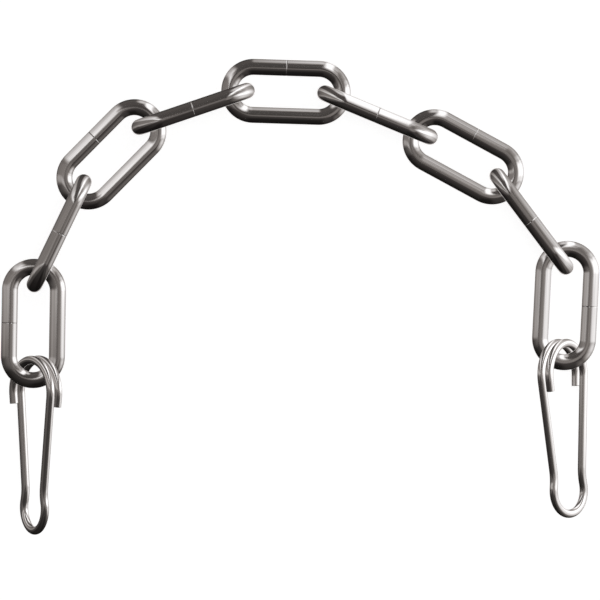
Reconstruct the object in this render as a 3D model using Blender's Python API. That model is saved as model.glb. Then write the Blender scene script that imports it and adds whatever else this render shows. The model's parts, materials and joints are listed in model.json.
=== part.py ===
"""A short length of long-link steel chain with a bent-wire spring hook on each end.

Units are metres, +Z up. The chain lies on a level floor at Z = 0, laid in an arch that opens
towards -Y, with the arch's top towards +Y. Every other link lies flat at mid-height, and the
links between them stand on one of their long bars. The links are numbered from the arch's
left foot to its right foot, so the middle link is link_5. The origin is the centre of the
whole on the floor.
"""
from math import acos, asin, atan2, copysign, cos, hypot, pi, radians, sin

import bmesh
import bpy
from mathutils import Matrix, Vector

# Links: round wire, bent to an oval and butt welded
WIRE = 0.0060
EYE_LENGTH = 0.0360
EYE_WIDTH = 0.0118
WIRE_SIDES = 12
BEND_STEPS = 12
MERGE_DISTANCE = 0.000006
SHARP_ANGLE = 40.0

# Lay of the chain, from the middle link outwards, in degrees
MIDDLE_X = -0.0052
MIDDLE_Y = 0.0759
MIDDLE_HEADING = -1.8
LEFT_TURNS = (20.5, 26.6, 19.0, 24.8)
RIGHT_TURNS = (-20.8, -6.0, -24.5, -39.8)
RIDE_ANGLE = 20.0
LINK_GAP = 0.0005

# Hooks: one springy wire, bent to a U whose legs run on round the two halves of a ring, one
# lying 0.3 mm over the other, and end beside each other's legs
HOOK_WIRE = 0.0031
HOOK_LENGTH = 0.0665
RING_RADIUS = 0.0120
BEND_RADIUS = 0.0085
NECK_RADIUS = 0.0174
NECK_ANGLE = 13.6
TAIL = 0.0035
RING_DEPTH = 0.0017
BEND_DEPTH = 0.00125
HOOK_SIDES = 10
ARC_STEP = 11.5

# Lay of each hook on its end link: its turn about the vertical and its roll about its own
# length in degrees, its shift along the link's bar, and the room left between that bar's wire
# and the ring's at the top, which is more than it looks because the ring passes slantwise
LEFT_HOOK = {"turn": 3.0, "roll": 55.0, "shift": 0.00100, "room": 0.00305}
RIGHT_HOOK = {"turn": 3.5, "roll": -58.0, "shift": -0.00015, "room": 0.00255}

# Sizes that follow
HALF_STRAIGHT = (EYE_LENGTH - EYE_WIDTH) / 2
WIRE_BEND = (EYE_WIDTH + WIRE) / 2
MID_HEIGHT = EYE_WIDTH / 2 + WIRE
RIDE = WIRE_BEND - WIRE - LINK_GAP
STANDING_REACH = HALF_STRAIGHT + WIRE_BEND + RIDE * cos(radians(RIDE_ANGLE))
STANDING_SHIFT = RIDE * sin(radians(RIDE_ANGLE))
RING_TOP = RING_RADIUS + HOOK_WIRE / 2
BEND_CENTRE = HOOK_LENGTH - RING_TOP - HOOK_WIRE / 2 - BEND_RADIUS


def clear_scene():
    """Remove every object that the file opens with."""
    for thing in list(bpy.data.objects):
        bpy.data.objects.remove(thing, do_unlink=True)


def make_steel(name, colour, roughness):
    """A bare metal finish."""
    material = bpy.data.materials.new(name)
    material.use_nodes = True
    shader = material.node_tree.nodes["Principled BSDF"]
    shader.inputs["Base Color"].default_value = (*colour, 1.0)
    shader.inputs["Metallic"].default_value = 1.0
    shader.inputs["Roughness"].default_value = roughness
    return material


def corner_radius(across_flats, sides):
    """The corner radius of a section whose flats touch the round wire."""
    return across_flats / 2 / cos(pi / sides)


def make_link_mesh(material):
    """One link in the XY plane, its long axis on X and its centre at the origin.

    The wire's section is drawn on one long bar, extruded along it, spun round the first bend,
    extruded back and spun round the second bend to meet itself.
    """
    bm = bmesh.new()
    place = (
        Matrix.Translation((-HALF_STRAIGHT, -WIRE_BEND, 0))
        @ Matrix.Rotation(radians(90), 4, "Y")
        @ Matrix.Rotation(pi / WIRE_SIDES, 4, "Z")
    )
    bmesh.ops.create_circle(
        bm, segments=WIRE_SIDES, radius=corner_radius(WIRE, WIRE_SIDES), matrix=place
    )
    section = bm.edges[:]
    for side in (1, -1):
        bar = bmesh.ops.extrude_edge_only(bm, edges=section)["geom"]
        verts = [g for g in bar if isinstance(g, bmesh.types.BMVert)]
        bmesh.ops.translate(bm, verts=verts, vec=(side * 2 * HALF_STRAIGHT, 0, 0))
        bend = bmesh.ops.spin(
            bm,
            geom=[g for g in bar if not isinstance(g, bmesh.types.BMFace)],
            cent=(side * HALF_STRAIGHT, 0, 0),
            axis=(0, 0, 1),
            angle=pi,
            steps=BEND_STEPS,
        )["geom_last"]
        section = [g for g in bend if isinstance(g, bmesh.types.BMEdge)]
    bmesh.ops.remove_doubles(bm, verts=bm.verts, dist=MERGE_DISTANCE)
    bmesh.ops.recalc_face_normals(bm, faces=bm.faces)
    mesh = bpy.data.meshes.new("link")
    bm.to_mesh(mesh)
    bm.free()
    mesh.shade_smooth()
    mesh.set_sharp_from_angle(angle=radians(SHARP_ANGLE))
    mesh.materials.append(material)
    return mesh


def arc(centre, radius, start, end):
    """Points round an arc in degrees from start to end, both ends included."""
    steps = max(1, round(abs(end - start) / ARC_STEP))
    angles = [radians(start + (end - start) * k / steps) for k in range(steps + 1)]
    return [(centre[0] + radius * cos(a), centre[1] + radius * sin(a)) for a in angles]


def hook_half_outline():
    """Half of the hook's centre line, flat, from the middle of the bend to the wire's end.

    X runs from the ring's centre towards the bend and Y across. The bend's arc runs into the
    neck's arc, which curves the other way. A straight leg, tangent to the neck and the ring,
    leads into the ring, and the wire goes over the top and ends straight beside the other leg.
    """
    reach = BEND_RADIUS + NECK_RADIUS
    past = 90 + NECK_ANGLE
    neck = (
        BEND_CENTRE + reach * cos(radians(past)),
        reach * sin(radians(past)),
    )
    slope = atan2(neck[0], neck[1]) - acos((RING_RADIUS + NECK_RADIUS) / hypot(*neck))
    lean = slope * 180 / pi
    points = arc((BEND_CENTRE, 0), BEND_RADIUS, 0, past)
    points += arc(neck, NECK_RADIUS, 270 + NECK_ANGLE, 270 - lean)[1:]
    points += arc((0, 0), RING_RADIUS, 90 - lean, 270 + lean)
    end = points[-1]
    points.append((end[0] + TAIL * cos(slope), end[1] + TAIL * sin(slope)))
    return points


def hook_centre_line():
    """The whole wire from end to end, its two halves side by side where they cross."""
    outline = hook_half_outline()
    half = []
    for along, across in outline:
        if along >= BEND_CENTRE:
            depth = BEND_DEPTH * across / BEND_RADIUS
        else:
            share = min(1.0, (BEND_CENTRE - along) / BEND_CENTRE)
            depth = BEND_DEPTH + (RING_DEPTH - BEND_DEPTH) * share
        half.append(Vector((along, across, depth)))
    other = [Vector((p.x, -p.y, -p.z)) for p in half]
    return other[:0:-1] + half


def make_hook_curve(material):
    """The hook's wire as a curve with a round bevel and closed ends."""
    curve = bpy.data.curves.new("hook", "CURVE")
    curve.dimensions = "3D"
    curve.bevel_depth = corner_radius(HOOK_WIRE, HOOK_SIDES)
    curve.bevel_resolution = (HOOK_SIDES - 4) // 2
    curve.use_fill_caps = True
    points = hook_centre_line()
    spline = curve.splines.new("POLY")
    spline.points.add(len(points) - 1)
    for slot, point in zip(spline.points, points):
        slot.co = (*point, 1.0)
    curve.materials.append(material)
    return curve


def add_pivot(name, parent, location, turn):
    """An empty on a joint's axis, turned about the vertical by degrees."""
    pivot = bpy.data.objects.new(name, None)
    pivot.empty_display_size = WIRE
    pivot.parent = parent
    pivot.location = location
    pivot.rotation_euler = (0, 0, radians(turn))
    bpy.context.collection.objects.link(pivot)
    return pivot


def add_piece(name, data, parent, location, rotation):
    """One piece on its pivot."""
    piece = bpy.data.objects.new(name, data)
    piece.parent = parent
    piece.location = location
    piece.rotation_euler = rotation
    bpy.context.collection.objects.link(piece)
    return piece


def lay_side(side, middle, turns, link_mesh):
    """Lay one side of the chain outwards, and return the last link's pivot and far bend.

    Side is -1 for the left and 1 for the right. Each link turns about the middle of a flat
    link's bend: a flat link about its own, and a standing link about its neighbour's, where
    its end bar rides round the inside of that bend.
    """
    parent = middle
    step = Vector((HALF_STRAIGHT, 0, 0))
    for count, turn in enumerate(turns):
        number = 5 + side * (count + 1)
        pivot = add_pivot(f"pivot_link_{number}", parent, step, turn)
        standing = count % 2 == 0
        if standing:
            centre = Vector((STANDING_REACH, side * STANDING_SHIFT, 0))
            step = Vector((2 * STANDING_REACH, 0, 0))
        else:
            centre = Vector((HALF_STRAIGHT, 0, 0))
            step = 2 * centre
        stand = radians(90) if standing else 0
        add_piece(f"link_{number}", link_mesh, pivot, centre, (stand, 0, 0))
        parent = pivot
    return parent, step


def hang_hook(name, link_pivot, bend, lay, hook_curve):
    """Hang a hook on the outer bar of an end link, about whose ring's centre it swings.

    The ring is rolled about the hook's length so that it passes round the bar, and raised
    until its low side lies on the floor. Within the ring's plane the hook has dropped until
    the low side of its bend lies there too.
    """
    roll = radians(lay["roll"])
    low_side = RING_RADIUS * sin(abs(roll)) + RING_DEPTH * cos(roll)
    lift = low_side + corner_radius(HOOK_WIRE, HOOK_SIDES) - MID_HEIGHT
    along = RING_RADIUS - (WIRE + HOOK_WIRE) / 2 - lay["room"]
    turned = Matrix.Rotation(radians(lay["turn"]), 4, "Z") @ Vector((along, 0, 0))
    bar = bend + Vector((WIRE_BEND, lay["shift"], lift))
    pivot = add_pivot(f"pivot_{name}", link_pivot, bar + turned, lay["turn"])
    pivot.rotation_euler.x = roll
    drop = asin((RING_RADIUS - BEND_RADIUS) / BEND_CENTRE)
    add_piece(name, hook_curve, pivot, (0, 0, 0), (0, 0, -copysign(drop, roll)))


def main():
    clear_scene()
    link_steel = make_steel("link_steel", (0.36, 0.35, 0.33), 0.18)
    hook_steel = make_steel("hook_steel", (0.44, 0.43, 0.41), 0.22)
    link_mesh = make_link_mesh(link_steel)
    hook_curve = make_hook_curve(hook_steel)

    centre = (MIDDLE_X, MIDDLE_Y, MID_HEIGHT)
    right = add_pivot("middle_right", None, centre, MIDDLE_HEADING)
    left = add_pivot("middle_left", None, centre, MIDDLE_HEADING + 180)
    add_piece("link_5", link_mesh, right, (0, 0, 0), (0, 0, 0))

    end, bend = lay_side(-1, left, LEFT_TURNS, link_mesh)
    hang_hook("hook_left", end, bend, LEFT_HOOK, hook_curve)
    end, bend = lay_side(1, right, RIGHT_TURNS, link_mesh)
    hang_hook("hook_right", end, bend, RIGHT_HOOK, hook_curve)
    bpy.context.view_layer.update()


main()
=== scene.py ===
"""The looks of a short length of long-link chain with a bent-wire spring hook on each end.

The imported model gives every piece's place. Each link and hook is drawn again here as true round
wire, with its butt weld, cut ends and drawn-steel finish, and it stands for the faceted solid
that it replaces. All sizes are in metres.
"""

import json
from math import acos, atan2, cos, hypot, pi, radians, sin
from typing import NamedTuple

import bmesh
import bpy
import numpy as np
from mathutils import Matrix, Vector

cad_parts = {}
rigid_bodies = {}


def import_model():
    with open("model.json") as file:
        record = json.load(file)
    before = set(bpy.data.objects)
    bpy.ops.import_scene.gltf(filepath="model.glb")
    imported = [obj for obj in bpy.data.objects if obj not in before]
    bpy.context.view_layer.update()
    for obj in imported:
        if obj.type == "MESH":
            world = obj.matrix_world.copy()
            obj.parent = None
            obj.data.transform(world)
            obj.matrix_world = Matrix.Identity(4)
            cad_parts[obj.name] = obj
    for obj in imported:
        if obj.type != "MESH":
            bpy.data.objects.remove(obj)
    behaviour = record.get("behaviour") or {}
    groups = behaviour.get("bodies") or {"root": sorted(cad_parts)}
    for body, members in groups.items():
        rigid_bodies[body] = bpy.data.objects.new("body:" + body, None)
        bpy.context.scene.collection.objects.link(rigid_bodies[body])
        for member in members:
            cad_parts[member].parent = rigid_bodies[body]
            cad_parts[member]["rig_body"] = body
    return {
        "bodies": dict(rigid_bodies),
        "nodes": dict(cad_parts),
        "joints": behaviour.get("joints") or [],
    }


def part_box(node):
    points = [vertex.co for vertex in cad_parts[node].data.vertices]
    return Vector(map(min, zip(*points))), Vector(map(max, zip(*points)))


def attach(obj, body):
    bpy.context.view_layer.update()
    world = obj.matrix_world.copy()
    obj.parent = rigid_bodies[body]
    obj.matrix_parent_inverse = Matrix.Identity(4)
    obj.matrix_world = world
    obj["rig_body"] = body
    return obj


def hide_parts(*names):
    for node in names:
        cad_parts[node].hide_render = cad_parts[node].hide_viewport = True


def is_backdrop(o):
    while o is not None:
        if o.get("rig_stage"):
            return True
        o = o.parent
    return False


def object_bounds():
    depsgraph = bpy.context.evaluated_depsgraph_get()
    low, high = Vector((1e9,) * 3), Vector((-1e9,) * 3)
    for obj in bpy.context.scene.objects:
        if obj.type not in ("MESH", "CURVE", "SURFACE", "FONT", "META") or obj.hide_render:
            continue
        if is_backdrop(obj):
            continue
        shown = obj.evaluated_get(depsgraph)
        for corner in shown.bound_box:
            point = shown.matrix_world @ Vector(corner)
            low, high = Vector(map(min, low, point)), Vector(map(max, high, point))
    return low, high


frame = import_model()

bl_info = {
    "name": "Chain with Spring Hooks",
    "version": (1, 0, 0),
    "blender": (4, 5, 0),
    "location": "3D View > Sidebar > Chain",
    "description": "Draws the links, spring hooks and studio of a short length of chain",
    "category": "Add Mesh",
}

HOOKS = ("hook_left", "hook_right")
LINKS = tuple(node for node in sorted(frame["nodes"]) if node not in HOOKS)

# The photograph is square, and its scale follows from the links' wire
PHOTO_WIDTH = 600
PIXELS_PER_METRE = 2700
VIEW_CENTRE = (0.0, -0.00115)
CAMERA_HEIGHT = 1.0

# How finely the wire is drawn
LINK_SIDES = 56
LINK_BEND_STEPS = 48
HOOK_SIDES = 40
HOOK_ARC_STEP = 3.0
SHARP_ANGLE = 30.0

# Names of the surface attribute and of the shared effects
WIRE_PLACE = "wire_place"
DRAW_LINES = "Draw Lines"
HANDLING = "Handling Marks"


def length(name, description, default):
    """A size in metres, for a property group."""
    return bpy.props.FloatProperty(
        name=name,
        description=description,
        default=default,
        min=0.0,
        precision=5,
        subtype="DISTANCE",
        unit="LENGTH",
    )


def colour(name, description, default):
    """A colour, for a property group."""
    return bpy.props.FloatVectorProperty(
        name=name,
        description=description,
        default=default,
        min=0.0,
        max=1.0,
        subtype="COLOR",
    )


def share(name, description, default):
    """A value from 0 to 1, for a property group."""
    return bpy.props.FloatProperty(
        name=name,
        description=description,
        default=default,
        min=0.0,
        max=1.0,
        subtype="FACTOR",
    )


class ChainLinkSettings(bpy.types.PropertyGroup):
    """Sizes and finish of the links."""

    wire: length("Wire", "Thickness of the links' round wire", 0.00598)
    eye_length: length("Eye Length", "Length of a link's opening", 0.0360)
    eye_width: length("Eye Width", "Width of a link's opening", 0.0118)
    weld_width: length("Weld Width", "Width of the seam where the wire's ends meet", 0.00030)
    weld_depth: length("Weld Depth", "Depth of that seam", 0.00007)
    steel: colour("Steel", "Colour of the links' steel", (0.40, 0.388, 0.375))
    roughness: share("Roughness", "How blurred its reflections are", 0.10)


class SpringHookSettings(bpy.types.PropertyGroup):
    """Sizes and finish of the spring hooks."""

    wire: length("Wire", "Thickness of the hooks' round wire", 0.0031)
    hook_length: length("Length", "Length of a hook from outside to outside", 0.0665)
    ring_radius: length("Ring Radius", "Radius of the ring at the wire's middle", 0.0120)
    bend_radius: length("Bend Radius", "Radius of the far bend at the wire's middle", 0.0085)
    neck_radius: length("Neck Radius", "Radius of the inward curve before the bend", 0.0174)
    neck_angle: bpy.props.FloatProperty(
        name="Neck Angle",
        description="How far the bend runs on past its half circle on each side",
        default=radians(13.6),
        subtype="ANGLE",
        unit="ROTATION",
    )
    tail: length("Tail", "Length of the straight end beside each leg", 0.0035)
    ring_depth: length("Ring Depth", "How far each half of the ring lies from its plane", 0.0017)
    bend_depth: length("Bend Depth", "The same, where the legs run into the bend", 0.00125)
    chamfer: length("Chamfer", "Broken edge of the wire's cut ends", 0.00012)
    steel: colour("Steel", "Colour of the hooks' steel", (0.50, 0.486, 0.470))
    roughness: share("Roughness", "How blurred its reflections are", 0.12)


class StudioSettings(bpy.types.PropertyGroup):
    """The floor and the light."""

    floor_side: length("Floor Side", "Side of the square floor", 6.0)
    floor: colour("Floor", "Colour of the floor", (0.80, 0.80, 0.80))
    backdrop: bpy.props.FloatProperty(
        name="Backdrop",
        description="Brightness of the floor and of what lies behind it",
        default=1.05,
        min=0.0,
    )
    shade: share("Shade", "How much of the floor's light the pieces can shade", 0.22)
    tent_radius: length("Tent Radius", "Radius of the round tent that the steel mirrors", 0.45)
    boxes: bpy.props.FloatProperty(
        name="Soft Boxes",
        description="Strength of the soft boxes that the steel mirrors",
        default=1.19,
        min=0.0,
    )


def long_axis(node):
    """Middle of a CAD node and the unit direction of its greatest length."""
    points = np.array([vert.co for vert in frame["nodes"][node].data.vertices], float)
    middle = points.mean(axis=0)
    spread = np.linalg.eigh(np.cov((points - middle).T))[1]
    low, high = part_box(node)
    return (low + high) / 2, Vector(spread[:, -1]).normalized(), Vector(middle)


def frame_matrix(origin, x_axis, y_axis):
    """The placement whose X and Y run along two square directions."""
    z_axis = x_axis.cross(y_axis)
    return Matrix.Translation(origin) @ Matrix((x_axis, y_axis, z_axis)).transposed().to_4x4()


def link_placement(node, settings):
    """Where a link lies: its length on X, and its welded bar on the side of -Y.

    The weld is in the upper bar of a standing link, and in the outer bar of a flat one.
    """
    centre, along, _ = long_axis(node)
    low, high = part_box(node)
    if high.z - low.z > 2 * settings.wire:
        along.z = 0
        along.normalize()
        weld_side = Vector((0, 0, 1))
    else:
        arch_low, arch_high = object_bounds()
        arch_middle = Vector(((arch_low[0] + arch_high[0]) / 2, (arch_low[1] + arch_high[1]) / 2, 0))
        outward = (centre - arch_middle).to_2d().to_3d()
        along.z = 0
        along.normalize()
        weld_side = (outward - along * outward.dot(along)).normalized()
    return frame_matrix(centre, along, -weld_side)


def hook_placement(node):
    """Where a hook lies: its ring's centre at the origin, its length on X, its ring in XY."""
    joint = next(entry for entry in frame["joints"] if entry["child"] == node)
    ring_centre = Vector(joint["pos_m"])
    normal = Vector(joint["axis"]).normalized()
    _, _, middle = long_axis(node)
    along = middle - ring_centre
    along = (along - normal * along.dot(normal)).normalized()
    return frame_matrix(ring_centre, along, normal.cross(along))


def link_stations(settings):
    """Sections round a link, from the bottom of its weld and back to it.

    Each station is the section's placement, its radius and its distance along the wire.
    """
    radius = settings.wire / 2
    bend = (settings.eye_width + settings.wire) / 2
    half = (settings.eye_length - settings.eye_width) / 2
    half_weld = settings.weld_width / 2
    groove = radius - settings.weld_depth

    def station(x, y, heading, size, distance):
        tangent = Vector((cos(heading), sin(heading), 0))
        sideways = Vector((-sin(heading), cos(heading), 0))
        turn = Matrix((sideways, (0, 0, -1), tangent)).transposed().to_4x4()
        return Matrix.Translation((x, y, 0)) @ turn, size, distance

    stations = [
        station(0, -bend, 0, groove, 0),
        station(half_weld * 0.45, -bend, 0, groove + settings.weld_depth * 0.35, half_weld * 0.45),
        station(half_weld, -bend, 0, radius, half_weld),
        station(half_weld * 1.6, -bend, 0, radius, half_weld * 1.6),
    ]
    arc_length = pi * bend
    for side, start in ((1, half), (-1, 3 * half + arc_length)):
        for step in range(LINK_BEND_STEPS + 1):
            angle = pi * step / LINK_BEND_STEPS
            heading = angle if side > 0 else pi + angle
            x = side * (half + bend * sin(angle))
            y = -side * bend * cos(angle)
            stations.append(station(x, y, heading, radius, start + angle * bend))
    whole = 4 * half + 2 * arc_length
    for x, size in (
        (half_weld * 1.6, radius),
        (half_weld, radius),
        (half_weld * 0.45, groove + settings.weld_depth * 0.35),
        (0, groove),
    ):
        stations.append(station(-x, -bend, 0, size, whole - x))
    return stations


def arc(centre, radius, start, end):
    """Points round an arc in degrees from start to end, both ends included."""
    steps = max(1, round(abs(end - start) / HOOK_ARC_STEP))
    angles = [radians(start + (end - start) * k / steps) for k in range(steps + 1)]
    return [(centre[0] + radius * cos(a), centre[1] + radius * sin(a)) for a in angles]


def hook_centre_line(settings):
    """The hook's wire from end to end, its two halves one over the other where they cross.

    X runs from the ring's centre towards the bend and Y across. From the middle of the bend,
    each half curves back into the neck, runs straight to the ring, goes over its top and ends
    straight beside the other half's leg.
    """
    ring = settings.ring_radius
    bend = settings.bend_radius
    neck_radius = settings.neck_radius
    neck_angle = settings.neck_angle * 180 / pi
    bend_centre = settings.hook_length - ring - settings.wire - bend
    past = 90 + neck_angle
    reach = bend + neck_radius
    neck = (bend_centre + reach * cos(radians(past)), reach * sin(radians(past)))
    slope = atan2(neck[0], neck[1]) - acos((ring + neck_radius) / hypot(*neck))
    lean = slope * 180 / pi
    outline = arc((bend_centre, 0), bend, 0, past)
    outline += arc(neck, neck_radius, 270 + neck_angle, 270 - lean)[1:]
    outline += arc((0, 0), ring, 90 - lean, 270 + lean)
    end = outline[-1]
    outline.append((end[0] + settings.tail * cos(slope), end[1] + settings.tail * sin(slope)))
    half = []
    for along, across in outline:
        if along >= bend_centre:
            depth = settings.bend_depth * across / bend
        else:
            part = min(1.0, (bend_centre - along) / bend_centre)
            depth = settings.bend_depth + (settings.ring_depth - settings.bend_depth) * part
        half.append(Vector((along, across, depth)))
    other = [Vector((point.x, -point.y, -point.z)) for point in half]
    return other[:0:-1] + half


def hook_stations(settings):
    """Sections along a hook's wire, carried on without a twist, its cut ends broken."""
    line = hook_centre_line(settings)
    radius = settings.wire / 2
    first = (line[1] - line[0]).normalized()
    last = (line[-1] - line[-2]).normalized()
    line[1:1] = [line[0] + first * settings.chamfer]
    line[-1:-1] = [line[-1] - last * settings.chamfer]
    sizes = [radius] * len(line)
    sizes[0] = sizes[-1] = radius - settings.chamfer
    stations = []
    distance = 0.0
    sideways = Vector((0, 0, 1))
    for index, point in enumerate(line):
        before = line[max(index - 1, 0)]
        after = line[min(index + 1, len(line) - 1)]
        tangent = (after - before).normalized()
        sideways = (sideways - tangent * sideways.dot(tangent)).normalized()
        turn = Matrix((sideways, tangent.cross(sideways), tangent)).transposed().to_4x4()
        distance += (point - before).length
        stations.append((Matrix.Translation(point) @ turn, sizes[index], distance))
    return stations


def sweep_wire(stations, sides, closed):
    """Round wire drawn through the stations, as a bmesh.

    The first section is extruded from station to station. Every point keeps its place on the
    straight wire in an attribute: across the section in X and Y, and along it in Z.
    """
    bm = bmesh.new()
    place = bm.verts.layers.float_vector.new(WIRE_PLACE)
    matrix, radius, distance = stations[0]
    drawn = bmesh.ops.create_circle(bm, segments=sides, radius=radius, matrix=matrix)
    back = matrix.inverted()
    for vert in drawn["verts"]:
        flat = back @ vert.co
        vert[place] = Vector((flat.x, flat.y, distance))
    edges = bm.edges[:]
    last = matrix @ Matrix.Diagonal((radius, radius, radius, 1))
    for matrix, radius, distance in stations[1:]:
        drawn = bmesh.ops.extrude_edge_only(bm, edges=edges)["geom"]
        verts = [part for part in drawn if isinstance(part, bmesh.types.BMVert)]
        edges = [
            part
            for part in drawn
            if isinstance(part, bmesh.types.BMEdge) and all(vert in verts for vert in part.verts)
        ]
        here = matrix @ Matrix.Diagonal((radius, radius, radius, 1))
        bmesh.ops.transform(bm, matrix=here @ last.inverted(), verts=verts)
        for vert in verts:
            vert[place].z = distance
        last = here
    if closed:
        bmesh.ops.remove_doubles(bm, verts=bm.verts, dist=radius / 1000)
    else:
        rims = [edge for edge in bm.edges if edge.is_boundary]
        bmesh.ops.holes_fill(bm, edges=rims)
    bmesh.ops.recalc_face_normals(bm, faces=bm.faces)
    return bm


def finish_piece(bm, name, placement, material, node):
    """Make the wire an object in place of a CAD node, riding on that node's body."""
    bmesh.ops.transform(bm, matrix=placement, verts=bm.verts)
    mesh = bpy.data.meshes.new(name)
    bm.to_mesh(mesh)
    bm.free()
    mesh.shade_smooth()
    mesh.set_sharp_from_angle(angle=radians(SHARP_ANGLE))
    mesh.materials.append(material)
    piece = bpy.data.objects.new(name, mesh)
    piece.visible_glossy = False
    bpy.context.scene.collection.objects.link(piece)
    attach(piece, frame["nodes"][node]["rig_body"])
    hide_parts(node)
    return piece


class Wiring:
    """Adds nodes to a tree and links them, so that a material reads from top to bottom."""

    def __init__(self, tree):
        self.tree = tree

    def node(self, kind, **settings):
        made = self.tree.nodes.new(kind)
        for key, value in settings.items():
            setattr(made, key, value)
        return made

    def feed(self, source, socket):
        """Link an output to a socket, or set the socket to a plain value."""
        if isinstance(source, bpy.types.NodeSocket):
            self.tree.links.new(source, socket)
        else:
            socket.default_value = source

    def math(self, operation, *values, clamp=False):
        made = self.node("ShaderNodeMath", operation=operation, use_clamp=clamp)
        for value, socket in zip(values, made.inputs):
            self.feed(value, socket)
        return made.outputs[0]

    def vector(self, operation, *values):
        made = self.node("ShaderNodeVectorMath", operation=operation)
        for value, socket in zip(values, made.inputs):
            self.feed(value, socket)
        return made.outputs["Value" if operation in ("DOT_PRODUCT", "LENGTH") else "Vector"]

    def noise(self, vector, scale, detail=2.0, roughness=0.5):
        made = self.node("ShaderNodeTexNoise")
        self.feed(vector, made.inputs["Vector"])
        self.feed(scale, made.inputs["Scale"])
        self.feed(detail, made.inputs["Detail"])
        self.feed(roughness, made.inputs["Roughness"])
        return made.outputs["Fac"]

    def remap(self, value, low, high, to_low=0.0, to_high=1.0, smooth=False):
        made = self.node(
            "ShaderNodeMapRange", interpolation_type="SMOOTHSTEP" if smooth else "LINEAR"
        )
        for source, socket in zip((value, low, high, to_low, to_high), made.inputs):
            self.feed(source, socket)
        return made.outputs[0]

    def mix(self, factor, first, second, blend="MIX"):
        made = self.node("ShaderNodeMix", data_type="RGBA", blend_type=blend)
        self.feed(factor, made.inputs["Factor"])
        self.feed(first, made.inputs[6])
        self.feed(second, made.inputs[7])
        return made.outputs[2]


def effect_group(name, inputs, outputs):
    """An empty shader group with named sockets, its wiring helper, its input and its output."""
    group = bpy.data.node_groups.new(name, "ShaderNodeTree")
    for label, kind in inputs:
        group.interface.new_socket(label, in_out="INPUT", socket_type=kind)
    for label, kind in outputs:
        group.interface.new_socket(label, in_out="OUTPUT", socket_type=kind)
    wiring = Wiring(group)
    return group, wiring, wiring.node("NodeGroupInput"), wiring.node("NodeGroupOutput")


def draw_lines_group():
    """Lines that the drawing die leaves along a wire, fine ones over broader ones."""
    group, w, given, made = effect_group(
        DRAW_LINES,
        [
            ("Place", "NodeSocketVector"),
            ("Fine Scale", "NodeSocketFloat"),
            ("Broad Scale", "NodeSocketFloat"),
        ],
        [("Height", "NodeSocketFloat"), ("Tone", "NodeSocketFloat")],
    )
    drawn_out = w.vector("MULTIPLY", given.outputs["Place"], (1.0, 1.0, 0.006))
    drawn_broad = w.vector("MULTIPLY", given.outputs["Place"], (1.0, 1.0, 0.012))
    fine = w.noise(drawn_out, given.outputs["Fine Scale"], 2.0, 0.5)
    broad = w.noise(drawn_broad, given.outputs["Broad Scale"], 1.0, 0.5)
    both = w.math("ADD", w.math("MULTIPLY", fine, 0.22), broad)
    w.feed(both, made.inputs["Height"])
    w.feed(w.remap(fine, 0.3, 0.7), made.inputs["Tone"])
    return group


def handling_group():
    """Marks of handling: cloudy smears, and short scratches that run every way."""
    group, w, given, made = effect_group(
        HANDLING,
        [("Position", "NodeSocketVector")],
        [("Smears", "NodeSocketFloat"), ("Scratches", "NodeSocketFloat")],
    )
    position = given.outputs["Position"]
    smears = w.remap(w.noise(position, 70.0, 3.0, 0.5), 0.35, 0.7, smooth=True)
    scratches = None
    for turn, stretch in (((0.3, 0.9, 0.2), 260.0), ((1.4, 0.2, 0.8), 330.0), ((0.8, 1.7, 1.1), 290.0)):
        turned = w.node("ShaderNodeMapping", vector_type="POINT")
        w.feed(position, turned.inputs["Vector"])
        turned.inputs["Rotation"].default_value = turn
        turned.inputs["Scale"].default_value = (1.0, 14.0, 14.0)
        cells = w.noise(turned.outputs["Vector"], stretch, 1.0, 0.5)
        line = w.remap(w.math("ABSOLUTE", w.math("SUBTRACT", cells, 0.5)), 0.012, 0.0)
        where = w.remap(w.noise(position, stretch * 0.7, 1.0), 0.56, 0.66)
        mark = w.math("MULTIPLY", line, where)
        scratches = mark if scratches is None else w.math("MAXIMUM", scratches, mark)
    w.feed(smears, made.inputs["Smears"])
    w.feed(scratches, made.inputs["Scratches"])
    return group


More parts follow.
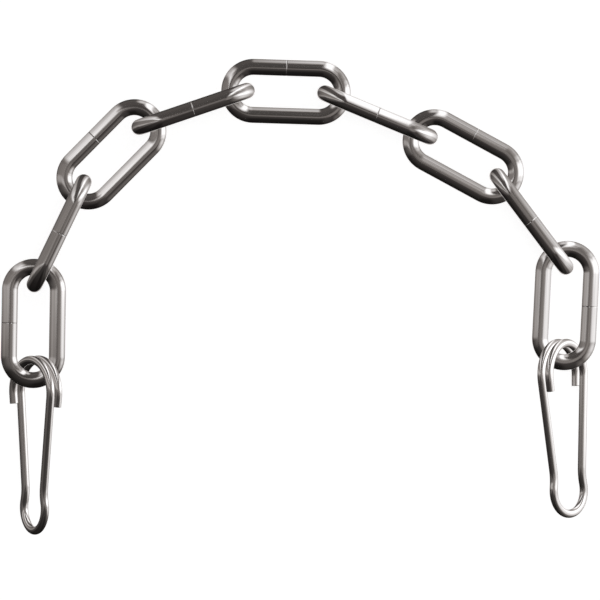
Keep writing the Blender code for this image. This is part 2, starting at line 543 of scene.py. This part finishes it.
def drawn_steel(name, steel, roughness, fine, broad, line_depth):
    """Bare drawn steel: lines along the wire, smears in its gloss and a few scratches."""
    material = bpy.data.materials.new(name)
    material.use_nodes = True
    tree = material.node_tree
    shader = tree.nodes["Principled BSDF"]
    w = Wiring(tree)
    place = w.node("ShaderNodeAttribute", attribute_name=WIRE_PLACE)
    position = w.node("ShaderNodeTexCoord")
    lines = w.node("ShaderNodeGroup", node_tree=bpy.data.node_groups[DRAW_LINES])
    w.feed(place.outputs["Vector"], lines.inputs["Place"])
    w.feed(fine, lines.inputs["Fine Scale"])
    w.feed(broad, lines.inputs["Broad Scale"])
    marks = w.node("ShaderNodeGroup", node_tree=bpy.data.node_groups[HANDLING])
    w.feed(position.outputs["Object"], marks.inputs["Position"])

    darker = tuple(value * 0.86 for value in steel) + (1.0,)
    lighter = tuple(min(1.0, value * 1.08) for value in steel) + (1.0,)
    tone = w.mix(lines.outputs["Tone"], darker, lighter)
    w.feed(w.mix(w.math("MULTIPLY", marks.outputs["Smears"], 0.15), tone, darker), shader.inputs["Base Color"])

    gloss = w.math("ADD", w.math("MULTIPLY", marks.outputs["Smears"], 0.035), roughness)
    gloss = w.math("ADD", gloss, w.math("MULTIPLY", marks.outputs["Scratches"], 0.05))
    w.feed(gloss, shader.inputs["Roughness"])
    shader.inputs["Metallic"].default_value = 1.0

    drawn = w.node("ShaderNodeBump")
    drawn.inputs["Strength"].default_value = 1.0
    drawn.inputs["Distance"].default_value = line_depth
    w.feed(lines.outputs["Height"], drawn.inputs["Height"])
    scored = w.node("ShaderNodeBump", invert=True)
    scored.inputs["Strength"].default_value = 0.12
    scored.inputs["Distance"].default_value = 0.000006
    w.feed(marks.outputs["Scratches"], scored.inputs["Height"])
    w.feed(drawn.outputs["Normal"], scored.inputs["Normal"])
    w.feed(scored.outputs["Normal"], shader.inputs["Normal"])
    return material


class CHAIN_OT_draw_links(bpy.types.Operator):
    """Draw the links of round wire, each with its weld"""

    bl_idname = "chain.draw_links"
    bl_label = "Draw Links"

    def execute(self, context):
        settings = context.scene.chain_links
        steel = drawn_steel(
            "polished_link_steel", settings.steel, settings.roughness, 4200.0, 1100.0, 0.000034
        )
        stations = link_stations(settings)
        for node in LINKS:
            bm = sweep_wire(stations, LINK_SIDES, closed=True)
            placement = link_placement(node, settings)
            finish_piece(bm, f"round_{node}", placement, steel, node)
        return {"FINISHED"}


class CHAIN_OT_draw_hooks(bpy.types.Operator):
    """Draw the spring hooks, each bent from one wire"""

    bl_idname = "chain.draw_hooks"
    bl_label = "Draw Spring Hooks"

    def execute(self, context):
        settings = context.scene.chain_hooks
        steel = drawn_steel(
            "bright_hook_wire", settings.steel, settings.roughness, 5200.0, 1600.0, 0.000022
        )
        stations = hook_stations(settings)
        for node in HOOKS:
            bm = sweep_wire(stations, HOOK_SIDES, closed=False)
            finish_piece(bm, f"wire_{node}", hook_placement(node), steel, node)
        return {"FINISHED"}


# What the steel mirrors: soft boxes and screens on the inside of a round tent. Angles are in
# degrees. The heading goes round from +X, and the other angles run down from straight overhead.
# Each box's light is what polished steel shows of it at the angle where it is full and level
# with the chain.
class SoftBox(NamedTuple):
    heading: float
    half_width: float
    softness: float
    start: float
    full: float
    light: float
    light_level: float


# The boxes' frames and reflectors, each a level strip that weakens or strengthens what light
# there is. It lies so many degrees to each side of its heading and height.
class Slat(NamedTuple):
    heading: float
    half_width: float
    height: float
    half_height: float
    gain: float


SOFT_BOXES = (
    # right: a large box, its wing on the upper side, and the screens on the lower side
    SoftBox(11, 14, 14, 25, 56, 0.94, 0.99),
    SoftBox(30, 6, 14, 30, 62, 0.40, 0.60),
    SoftBox(357, 7, 8, 27, 58, 0.63, 0.73),
    SoftBox(343, 11, 20, 30, 78, 0.55, 0.58),
    SoftBox(24, 3, 10, 66, 84, 0.90, 1.00),
    SoftBox(333, 8, 26, 34, 92, 0.52, 0.58),
    SoftBox(314, 8, 16, 20, 60, 0.068, 0.105),
    # upper right: a narrow box and its glow, with a grey screen between it and the large box
    SoftBox(70.2, 8.2, 9, 16, 44, 0.86, 0.98),
    SoftBox(59, 8, 10, 12, 24, 0.26, 0.36),
    SoftBox(84, 8, 12, 62, 84, 0.48, 0.50),
    SoftBox(42, 20, 16, 6, 12, 0.165, 0.0),
    SoftBox(42, 20, 16, 22, 95, 0.36, 0.36),
    # top: a dark screen
    SoftBox(106, 34, 12, 0, 10, 0.043, 0.064),
    # upper left: a narrow box that widens downwards, and its glow
    SoftBox(138, 6, 10, 6, 28, 0.80, 0.44),
    SoftBox(133, 9, 12, 32, 60, 0.62, 0.36),
    SoftBox(137, 11, 14, 8, 20, 0.36, 0.22),
    # left: a grey screen with a lighter strip
    SoftBox(166, 20, 14, 4, 16, 0.170, 0.145),
    SoftBox(175.6, 7.3, 10, 8, 20, 0.33, 0.28),
    SoftBox(190, 14, 22, 4, 16, 0.115, 0.045),
    # lower side: dark screens
    SoftBox(228, 30, 24, 0, 10, 0.034, 0.010),
    SoftBox(298, 18, 24, 0, 10, 0.044, 0.026),
)
SLATS = (
    Slat(57, 6, 74.5, 3.5, 1.45),
    Slat(57, 6, 60, 6, 0.80),
    Slat(48, 4, 72, 24, 0.80),
    Slat(177, 8, 31, 5, 1.14),
    Slat(177, 8, 58, 6, 0.88),
    Slat(184, 6, 102, 8, 0.65),
)
SLAT_SOFTNESS = 3
OVERHEAD_LIGHT = 0.122
OVERHEAD_INNER = 4
OVERHEAD_OUTER = 15
PATCH_HEADING = 350
PATCH_LEAN = 21
PATCH_LIGHT = 0.160
PATCH_INNER = 9
PATCH_OUTER = 24
GLOW_LIGHT = 0.046
GLOW_INNER = 4
GLOW_OUTER = 75
DARK_LIGHT = 0.0075
SKIRT_TOP = 96
SKIRT_FOOT = 150
SKIRT_LIGHT = 0.28
BOUNCE_INNER = 170
BOUNCE_OUTER = 148
BOUNCE_LIGHT = 0.30
TENT_TINTS = (
    (0.0, (1.0, 0.895, 0.86)),
    (0.5, (1.0, 0.93, 0.90)),
    (0.7, (1.0, 0.978, 0.994)),
    (1.0, (1.0, 1.015, 1.05)),
)


def slat_share(w, away, half_size):
    """How much of a slat shows at an angle away from its middle."""
    outer = radians(half_size + SLAT_SOFTNESS)
    inner = radians(half_size - SLAT_SOFTNESS)
    return w.remap(away, outer, inner, smooth=True)


def tent_light(w, direction):
    """How much light the tent's inside gives towards each direction, before its tint."""
    height = w.vector("DOT_PRODUCT", direction, (0.0, 0.0, 1.0))
    down = w.math("ARCCOSINE", height)
    level = w.vector("NORMALIZE", w.vector("MULTIPLY", direction, (1.0, 1.0, 0.0)))

    glow = w.remap(down, radians(GLOW_OUTER), radians(GLOW_INNER))
    glow = w.math("MULTIPLY", w.math("MULTIPLY", glow, glow), GLOW_LIGHT)
    light = w.math("ADD", glow, DARK_LIGHT)
    overhead = w.remap(
        down, radians(OVERHEAD_OUTER), radians(OVERHEAD_INNER), 0.0, OVERHEAD_LIGHT, True
    )
    light = w.math("MAXIMUM", light, overhead)
    lean = radians(PATCH_LEAN)
    heading = radians(PATCH_HEADING)
    patch_facing = (sin(lean) * cos(heading), sin(lean) * sin(heading), cos(lean))
    from_patch = w.math("ARCCOSINE", w.vector("DOT_PRODUCT", direction, patch_facing))
    patch = w.remap(
        from_patch, radians(PATCH_OUTER), radians(PATCH_INNER), 0.0, PATCH_LIGHT, True
    )
    light = w.math("MAXIMUM", light, patch)
    for box in SOFT_BOXES:
        facing = (cos(radians(box.heading)), sin(radians(box.heading)), 0.0)
        aside = w.math("ARCCOSINE", w.vector("DOT_PRODUCT", level, facing))
        outer = radians(box.half_width + box.softness / 2)
        inner = radians(box.half_width - box.softness / 2)
        lit = w.remap(aside, outer, inner, smooth=True)
        rise = w.remap(down, radians(box.start), radians(box.full))
        strength = w.remap(down, radians(box.full), pi / 2, box.light, box.light_level)
        light = w.math("MAXIMUM", light, w.math("MULTIPLY", w.math("MULTIPLY", lit, rise), strength))
    for slat in SLATS:
        facing = (cos(radians(slat.heading)), sin(radians(slat.heading)), 0.0)
        aside = w.math("ARCCOSINE", w.vector("DOT_PRODUCT", level, facing))
        away = w.math("ABSOLUTE", w.math("SUBTRACT", down, radians(slat.height)))
        across = slat_share(w, aside, slat.half_width)
        near = w.math("MULTIPLY", across, slat_share(w, away, slat.half_height))
        light = w.math("MULTIPLY", light, w.remap(near, 0.0, 1.0, 1.0, slat.gain))
    skirt = w.remap(down, radians(SKIRT_TOP), radians(SKIRT_FOOT), 1.0, SKIRT_LIGHT)
    light = w.math("MULTIPLY", light, skirt)
    bounce = w.remap(down, radians(BOUNCE_OUTER), radians(BOUNCE_INNER), 0.0, BOUNCE_LIGHT, True)
    return w.math("MAXIMUM", light, bounce)


def studio_tent(settings, steel):
    """A round tent of soft boxes, which only reflections see."""
    material = bpy.data.materials.new("tent_light")
    material.use_nodes = True
    tree = material.node_tree
    tree.nodes.clear()
    w = Wiring(tree)
    direction = w.vector("NORMALIZE", w.node("ShaderNodeTexCoord").outputs["Object"])
    light = tent_light(w, direction)
    ramp = w.node("ShaderNodeValToRGB")
    w.feed(w.math("POWER", light, 0.4), ramp.inputs["Fac"])
    for place, _ in TENT_TINTS[1:-1]:
        ramp.color_ramp.elements.new(place)
    for element, (place, tint) in zip(ramp.color_ramp.elements, TENT_TINTS):
        element.position = place
        element.color = (*tint, 1.0)
    tinted = w.vector("SCALE", ramp.outputs["Color"])
    w.feed(w.math("MULTIPLY", light, settings.boxes / steel[1]), tinted.node.inputs["Scale"])
    emission = w.node("ShaderNodeEmission")
    w.feed(tinted, emission.inputs["Color"])
    output = w.node("ShaderNodeOutputMaterial")
    w.feed(emission.outputs["Emission"], output.inputs["Surface"])
    material.cycles.emission_sampling = "NONE"

    bm = bmesh.new()
    bmesh.ops.create_icosphere(bm, subdivisions=4, radius=settings.tent_radius)
    mesh = bpy.data.meshes.new("tent")
    bm.to_mesh(mesh)
    bm.free()
    mesh.materials.append(material)
    tent = bpy.data.objects.new("tent", mesh)
    tent.visible_camera = False
    tent.visible_diffuse = False
    tent.visible_shadow = False
    bpy.context.scene.collection.objects.link(tent)
    tent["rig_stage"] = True


def studio_world(settings):
    """Even white light for the floor, as bright as the floor where the camera sees it.

    The steel mirrors the tent instead.
    """
    world = bpy.data.worlds.new("studio")
    bpy.context.scene.world = world
    world.use_nodes = True
    w = Wiring(world.node_tree)
    path = w.node("ShaderNodeLightPath")
    on_floor = settings.backdrop * settings.shade / settings.floor[1]
    seen = w.remap(path.outputs["Is Camera Ray"], 0.0, 1.0, on_floor, settings.backdrop)
    w.feed(seen, world.node_tree.nodes["Background"].inputs["Strength"])
    world.node_tree.nodes["Background"].inputs["Color"].default_value = (1.0, 1.0, 1.0, 1.0)
    world.cycles_visibility.glossy = False


def studio_floor(settings):
    """A plain pale floor, on which the pieces cast only a faint shade."""
    material = bpy.data.materials.new("pale_floor")
    material.use_nodes = True
    shader = material.node_tree.nodes["Principled BSDF"]
    shader.inputs["Base Color"].default_value = (*settings.floor, 1.0)
    shader.inputs["Roughness"].default_value = 0.9
    shader.inputs["Specular IOR Level"].default_value = 0.0
    shader.inputs["Emission Color"].default_value = (1.0, 1.0, 1.0, 1.0)
    shader.inputs["Emission Strength"].default_value = settings.backdrop * (1 - settings.shade)
    material.cycles.emission_sampling = "NONE"
    bm = bmesh.new()
    bmesh.ops.create_grid(bm, x_segments=1, y_segments=1, size=settings.floor_side / 2)
    mesh = bpy.data.meshes.new("floor")
    bm.to_mesh(mesh)
    bm.free()
    mesh.materials.append(material)
    floor = bpy.data.objects.new("floor", mesh)
    floor.visible_glossy = False
    bpy.context.scene.collection.objects.link(floor)
    floor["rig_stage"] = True


class CHAIN_OT_set_stage(bpy.types.Operator):
    """Set the floor, the light and a camera that looks straight down"""

    bl_idname = "chain.set_stage"
    bl_label = "Set Stage"

    def execute(self, context):
        settings = context.scene.chain_studio
        studio_floor(settings)
        studio_tent(settings, context.scene.chain_links.steel)
        studio_world(settings)
        context.scene.view_settings.view_transform = "Standard"
        data = bpy.data.cameras.new("overhead")
        data.type = "ORTHO"
        data.ortho_scale = PHOTO_WIDTH / PIXELS_PER_METRE
        data.clip_start = CAMERA_HEIGHT / 100
        camera = bpy.data.objects.new("overhead", data)
        camera.location = (*VIEW_CENTRE, CAMERA_HEIGHT)
        context.scene.collection.objects.link(camera)
        context.scene.camera = camera
        return {"FINISHED"}


class CHAIN_PT_panel(bpy.types.Panel):
    """Sizes, finishes and buttons of the chain"""

    bl_label = "Chain"
    bl_idname = "CHAIN_PT_panel"
    bl_space_type = "VIEW_3D"
    bl_region_type = "UI"
    bl_category = "Chain"

    def draw(self, context):
        scene = context.scene
        for settings, button in (
            (scene.chain_links, CHAIN_OT_draw_links.bl_idname),
            (scene.chain_hooks, CHAIN_OT_draw_hooks.bl_idname),
            (scene.chain_studio, CHAIN_OT_set_stage.bl_idname),
        ):
            column = self.layout.column()
            for name in settings.bl_rna.properties.keys():
                if name not in ("rna_type", "name"):
                    column.prop(settings, name)
            column.operator(button)


CLASSES = (
    ChainLinkSettings,
    SpringHookSettings,
    StudioSettings,
    CHAIN_OT_draw_links,
    CHAIN_OT_draw_hooks,
    CHAIN_OT_set_stage,
    CHAIN_PT_panel,
)


def register():
    for entry in CLASSES:
        bpy.utils.register_class(entry)
    bpy.types.Scene.chain_links = bpy.props.PointerProperty(type=ChainLinkSettings)
    bpy.types.Scene.chain_hooks = bpy.props.PointerProperty(type=SpringHookSettings)
    bpy.types.Scene.chain_studio = bpy.props.PointerProperty(type=StudioSettings)


def unregister():
    del bpy.types.Scene.chain_studio
    del bpy.types.Scene.chain_hooks
    del bpy.types.Scene.chain_links
    for entry in reversed(CLASSES):
        bpy.utils.unregister_class(entry)


def clear_start_up():
    """Remove what Blender opens with: everything that isn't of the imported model."""
    kept = set(frame["nodes"].values()) | set(frame["bodies"].values())
    for thing in list(bpy.data.objects):
        if thing not in kept:
            bpy.data.objects.remove(thing, do_unlink=True)


def main():
    clear_start_up()
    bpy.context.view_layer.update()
    register()
    draw_lines_group()
    handling_group()
    bpy.ops.chain.draw_links()
    bpy.ops.chain.draw_hooks()
    bpy.ops.chain.set_stage()


if __name__ == "__main__":
    main()
